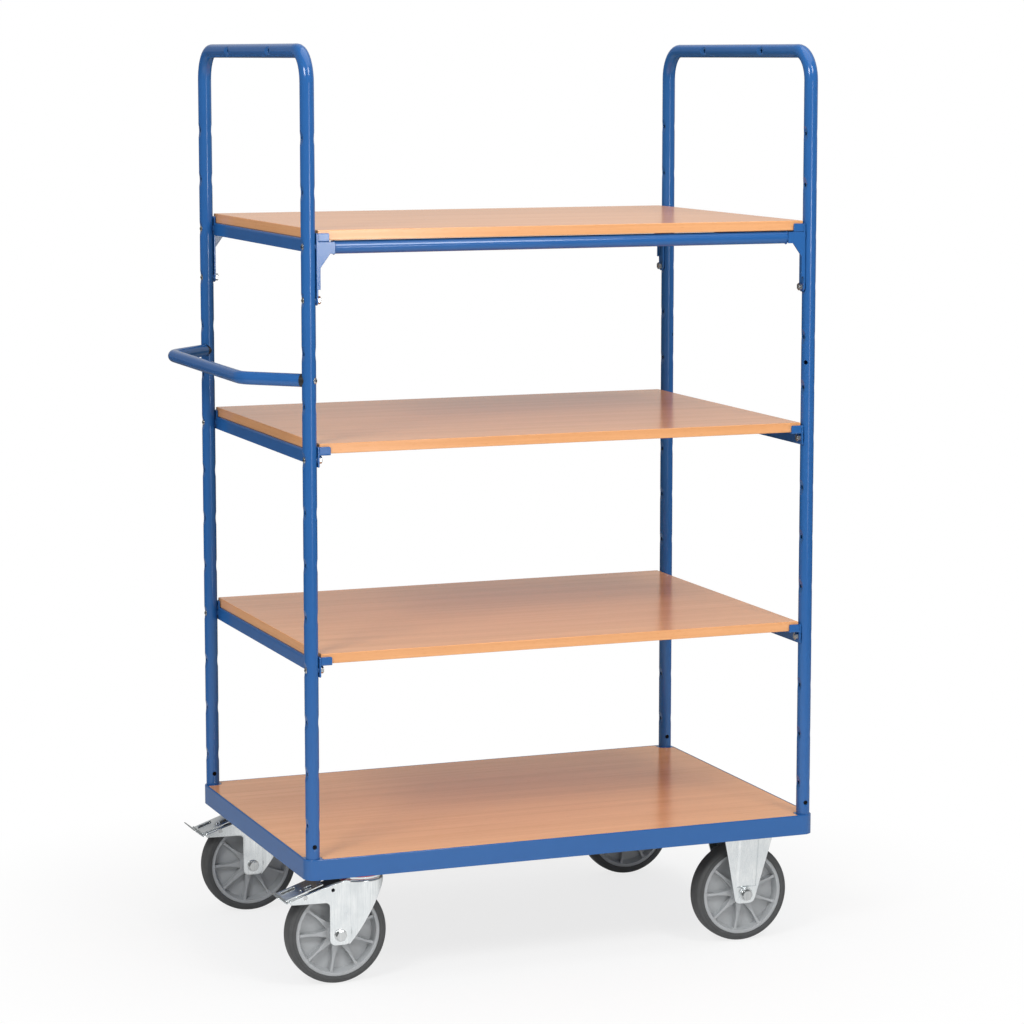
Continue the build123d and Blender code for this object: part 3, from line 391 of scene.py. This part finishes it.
def bead(points, faces, path, radius, turns=10):
    """Adds a weld bead along a path of places: round, thinner at its ends, with a ripple at every step."""
    first = len(points)
    count = len(path)
    for k, at in enumerate(path):
        before = path[max(k - 1, 0)]
        after = path[min(k + 1, count - 1)]
        along = (after - before).normalized()
        side = along.orthogonal().normalized()
        third = along.cross(side)
        taper = 0.25 + 0.75 * math.sin(math.pi * k / (count - 1)) ** 0.4
        ripple = 1 + 0.12 * (k % 2)
        thick = radius * taper * ripple
        for j in range(turns):
            a = 2 * math.pi * j / turns
            points.append(at + thick * (math.cos(a) * side + math.sin(a) * third))
    join_rings(faces, first, count, turns)
    cap_rings(faces, first, count, turns)


# Each ring of a socket is a share of its width and a height over the crown, in mm
SOCKET = ((1.0, -0.45), (0.92, 0.1), (0.8, 0.03))


def socket(points, faces, at, out, flats):
    """Adds a hexagon socket on a bolt's crown: a ring that lies in the crown, a low lip and a dark floor
    just proud of the crown, whose dark is painted shade for the socket's depth.
    """
    side = out.orthogonal().normalized()
    third = out.cross(side)
    first = len(points)
    for share, height in SOCKET:
        r = share * flats / math.sqrt(3)
        for k in range(6):
            a = math.radians(60 * k)
            points.append(at + r * (math.cos(a) * side + math.sin(a) * third) + height * mm * out)
    join_rings(faces, first, len(SOCKET), 6)
    cap_rings(faces, first, len(SOCKET), 6)


# Each ring of a plug is a radius and how far it stands out of the wall, in mm
CUP = ((0.8, -0.6), (4.4, -0.6), (4.4, 0.1), (4.2, 0.2), (3.2, 0.2), (2.6, 0.1), (1.7, 0.1), (0.8, 0.1))
# the open ring is painted shade round the outer holes, which makes them look wider and darker
SHADE_RING = ((4.5, -0.6), (4.5, 0.1), (4.3, 0.2), (3.7, 0.15), (3.5, -0.6))


def plug(points, faces, hand, s, facing, rings, turns=32):
    """Adds a dark plug in a post's screw hole, whose black is painted shade for the hole: a closed cup that
    follows the tube, or an open ring that follows the dimple round the screw and widens the hole's dark."""
    first = len(points)
    for r, lift in rings:
        for k in range(turns):
            a = 2 * math.pi * k / turns
            side = r * math.cos(a)
            if rings is CUP:
                wall = math.sqrt(post_r ** 2 - side ** 2)
            else:
                wall = post_r - foot_dent_depth + foot_dent_r - math.sqrt(foot_dent_r ** 2 - r ** 2)
            points.append(spot(hand * post_x + side, s * (post_y + facing * (wall + lift)),
                               foot_screw_z + r * math.sin(a)))
    join_rings(faces, first, len(rings), turns, rings is SHADE_RING)
    if rings is CUP:
        cap_rings(faces, first, len(rings), turns)


def washer(points, faces, at, inner, outer, thick, turns=48):
    """Adds a flat washer whose back lies at a place and faces +Y, with a bevelled rim."""
    first = len(points)
    rim = outer - thick * 0.4
    rings = ((inner, 0.0), (outer, 0.0), (outer, thick * 0.6), (rim, thick), (inner, thick))
    for r, out in rings:
        for k in range(turns):
            a = 2 * math.pi * k / turns
            points.append(at + Vector((r * math.cos(a), -out, r * math.sin(a))))
    join_rings(faces, first, len(rings), turns, True)


def block(points, faces, origin, axes, spans):
    """Adds a box from its spans in mm along three axes that stand square to each other."""
    first = len(points)
    for x in spans[0]:
        for y in spans[1]:
            for z in spans[2]:
                points.append(origin + (x * axes[0] + y * axes[1] + z * axes[2]) * mm)
    for side in ((0, 1, 3, 2), (4, 6, 7, 5), (0, 4, 5, 1), (2, 3, 7, 6), (0, 2, 6, 4), (1, 5, 7, 3)):
        faces.append(tuple(first + corner for corner in side))


# Small pieces that the solids leave out, in mm

# Tacks above and below each end of the tubes under the top shelf, by angle round the tube
tack_x = 467.2
tack_ring = 12.7
tack_angles = range(40, 89, 6)
tack_r = 1.9
points, faces = [], []
for hand, s in corners:
    for up in (-1, 1):
        path = []
        for angle in tack_angles:
            a = math.radians(up * angle)
            path.append(spot(hand * tack_x, s * (top_tube_y + tack_ring * math.cos(a)),
                             top_tube_z + tack_ring * math.sin(a)))
        bead(points, faces, path, tack_r * mm)
piece("tube_weld_tacks", points, faces, paint, "chassis", True)

# Beads down the inner corner between each bracket leg and its side plate
leg_bead_x = 501.2
leg_bead_y = 350.8
leg_bead_low = 1347
leg_bead_step = 3.2
leg_bead_count = 18
leg_bead_r = 1.6
points, faces = [], []
for hand, s in corners:
    path = [spot(hand * leg_bead_x, s * leg_bead_y, leg_bead_low + leg_bead_step * k)
            for k in range(leg_bead_count)]
    bead(points, faces, path, leg_bead_r * mm)
piece("leg_weld_beads", points, faces, paint, "chassis", True)

# Beads where the cross plates and the channel meet the rim, under the base: start, end and height
base_beads = ((-480, -336, 237.2), (328, 472, 237.2), (-18, 18, 225.2))
base_bead_y = 358.8
base_bead_step = 3.5
base_bead_r = 1.8
points, faces = [], []
for s in (-1, 1):
    for start, end, z in base_beads:
        steps = round((end - start) / base_bead_step)
        path = [spot(start + (end - start) * k / steps, s * base_bead_y, z) for k in range(steps + 1)]
        bead(points, faces, path, base_bead_r * mm)
piece("base_weld_beads", points, faces, paint, "chassis", True)

# Hexagon sockets in the crowns of the shelf bolts, seated in the posts' dents, and of the handle bolts: dark
# patches on the crowns, painted shade for the recesses
socket_flats = 4.2
shelf_crown = post_r - dent_depth + dome_r ** 2 / (2 * dent_r) + dome_height
handle_crown = post_r + dome_height
points, faces = [], []
for hand, s in corners:
    for z in bolt_levels:
        at = spot(hand * (post_x + shelf_crown), s * post_y, z)
        socket(points, faces, at, Vector((hand, 0, 0)), socket_flats * mm)
leg_x = handle_x - post_x
leg_y = post_y - handle_y
leg_length = math.hypot(leg_x, leg_y)
for s in (-1, 1):
    out = Vector((leg_x / leg_length, s * leg_y / leg_length, 0))
    at = spot(-post_x, s * post_y, handle_z) + handle_crown * mm * out
    socket(points, faces, at, out, socket_flats * mm)
# the black oxide of the sockets stands for the shade in the recess: painted shade
piece("bolt_socket_shade", points, faces, black_oxide, "chassis", False)

# Near-black plugs in the screw holes of the posts, painted shade for the holes' dark: cups on the sides that
# face the deck, rings on the outer sides that widen the dark round the screws
points, faces = [], []
for hand, s in corners:
    plug(points, faces, hand, s, -1, CUP)
    plug(points, faces, hand, s, 1, SHADE_RING)
piece("foot_hole_shade_plugs", points, faces, hole_shade_black, "chassis", False)

# Washers under the heads of the axle bolts
washer_size = (6.2 * mm, 12.2 * mm, 1.6 * mm)
for row, y in caster_rows:
    points, faces = [], []
    washer(points, faces, spot(swivel_wheel_x, y - fork_half, axle_z), *washer_size)
    piece("fork_washer_" + row, points, faces, bolt_zinc, row + "_fork", False)
points, faces = [], []
for row, y in caster_rows:
    washer(points, faces, spot(fixed_wheel_x, y - boss_reach, axle_z), *washer_size)
piece("bracket_washers", points, faces, bolt_zinc, "chassis", False)

# Pressed lips behind the slots of the brake pedals, and dark rubber strips in the slots as painted shade.
# Each slot is its middle along and across the tread and half its length; heights are from the pivot, square
# to the tread
slots = ((-18, 12, 15), (16, -16, 7.5))
lip_across = (2.6, 3.8)
lip_heights = (9.5, 13.0)
strip_across = (-2.5, 2.5)
strip_heights = (7.6, 9.6)
slope = math.radians(pedal_slope)
tread = (Vector((math.cos(slope), 0, math.sin(slope))), Vector((0, 1, 0)),
         Vector((-math.sin(slope), 0, math.cos(slope))))
for row, y in caster_rows:
    pivot = spot(pedal_pivot_x, y, pedal_pivot_z)
    lips, lip_faces, strips, strip_faces = [], [], [], []
    for middle, across, half in slots:
        length = (middle - half, middle + half)
        lip = [across + edge for edge in lip_across]
        strip = [across + edge for edge in strip_across]
        block(lips, lip_faces, pivot, tread, (length, lip, lip_heights))
        block(strips, strip_faces, pivot, tread, (length, strip, strip_heights))
    piece("pedal_slot_lips_" + row, lips, lip_faces, zinc, row + "_pedal", False)
    # the strips are black brake rubber that stands for the shade in the slots: painted shade
    piece("pedal_slot_shade_strips_" + row, strips, strip_faces, brake_rubber,
          row + "_pedal", False)


# Floor, world, lamps and camera, in metres

scene = bpy.context.scene
scene.view_settings.view_transform = "Standard"

floor_half = 40.0
floor_mesh = bpy.data.meshes.new("studio_floor")
floor_mesh.from_pydata([(-floor_half, -floor_half, 0), (floor_half, -floor_half, 0),
                        (floor_half, floor_half, 0), (-floor_half, floor_half, 0)], [], [(0, 1, 2, 3)])
floor_mesh.materials.append(studio_white())
floor = bpy.data.objects.new("studio_floor", floor_mesh)
scene.collection.objects.link(floor)

# In gloss the white sweep stands behind and to the right, and the rest of the hall is dim. To the eye all is
# white, and the light that the hall itself gives is even
world = bpy.data.worlds.new("studio")
scene.world = world
world.use_nodes = True
hall = world.node_tree
hall.nodes.clear()
way = add(hall, "SeparateXYZ", {}, {0: add(hall, "TexCoord", {}, {}).outputs["Generated"]})
rear = add(hall, "MapRange", SMOOTH_STEP, {"Value": way.outputs["Y"], "From Min": -0.5, "From Max": 0.3})
right = add(hall, "MapRange", SMOOTH_STEP, {"Value": way.outputs["X"], "From Min": -0.25, "From Max": 0.25})
sweep = add(hall, "Math", {"operation": "MULTIPLY"}, {0: rear.outputs[0], 1: right.outputs[0]})
mirrored = add(hall, "MapRange", {}, {"Value": sweep.outputs[0], "To Min": 0.2, "To Max": 0.58})
ray = add(hall, "LightPath", {}, {})
in_gloss = add(hall, "Mix", {}, {
    SHARE: ray.outputs["Is Glossy Ray"], NUMBER_A: 0.46, NUMBER_B: mirrored.outputs[0]})
to_eye = add(hall, "Mix", {}, {
    SHARE: ray.outputs["Is Camera Ray"], NUMBER_A: in_gloss.outputs[0], NUMBER_B: 1.0})
through = add(hall, "Mix", {}, {
    SHARE: ray.outputs["Is Transmission Ray"], NUMBER_A: to_eye.outputs[0], NUMBER_B: 1.0})
sky = add(hall, "Background", {}, {"Color": linear("FFFFFF"), "Strength": through.outputs[0]})
add(hall, "OutputWorld", {}, {"Surface": sky.outputs[0]})


def lamp(name, place, target, wide, high, watts):
    """A soft box that faces a point."""
    data = bpy.data.lights.new(name, "AREA")
    data.shape = "RECTANGLE"
    data.size = wide
    data.size_y = high
    data.energy = watts
    made = bpy.data.objects.new(name, data)
    made.location = place
    made.rotation_euler = (Vector(target) - Vector(place)).to_track_quat("-Z", "Y").to_euler()
    scene.collection.objects.link(made)


lamp("overhead_box", (0.3, -0.4, 3.6), (0.05, 0, 0.8), 2.6, 2.6, 30)
lamp("front_box", (1.1, -3.5, 3.9), (0.05, 0, 0.9), 1.1, 1.4, 61)
lamp("front_panel", (0.6, -3.9, 1.1), (0.05, 0, 1.0), 0.9, 1.6, 11)
# a small lamp for the pale glints at the top shelf's left corner
lamp("front_spot", (0.83, -4.1, 1.27), (-0.42, -0.35, 1.4), 0.5, 0.2, 5.5)
lamp("left_box", (-3.6, -3.2, 4.0), (0.05, 0, 0.8), 1.5, 1.5, 125)

# The camera's place and turn were solved from edges measured in the photograph
eye = Vector((-2.30861, -6.13997, 1.77990))
yaw = math.radians(21.1795)
pitch = math.radians(7.3697)
ahead = Vector((math.sin(yaw) * math.cos(pitch), math.cos(yaw) * math.cos(pitch), -math.sin(pitch)))
rightward = Vector((math.cos(yaw), -math.sin(yaw), 0))
above = rightward.cross(ahead)
camera_data = bpy.data.cameras.new("photo_camera")
camera_data.lens = 114.677
camera_data.shift_y = -0.035
camera_data.clip_end = 200
camera = bpy.data.objects.new("photo_camera", camera_data)
turn = Matrix((rightward, above, -ahead)).transposed().to_4x4()
camera.matrix_world = Matrix.Translation(eye) @ turn
scene.collection.objects.link(camera)
scene.camera = camera
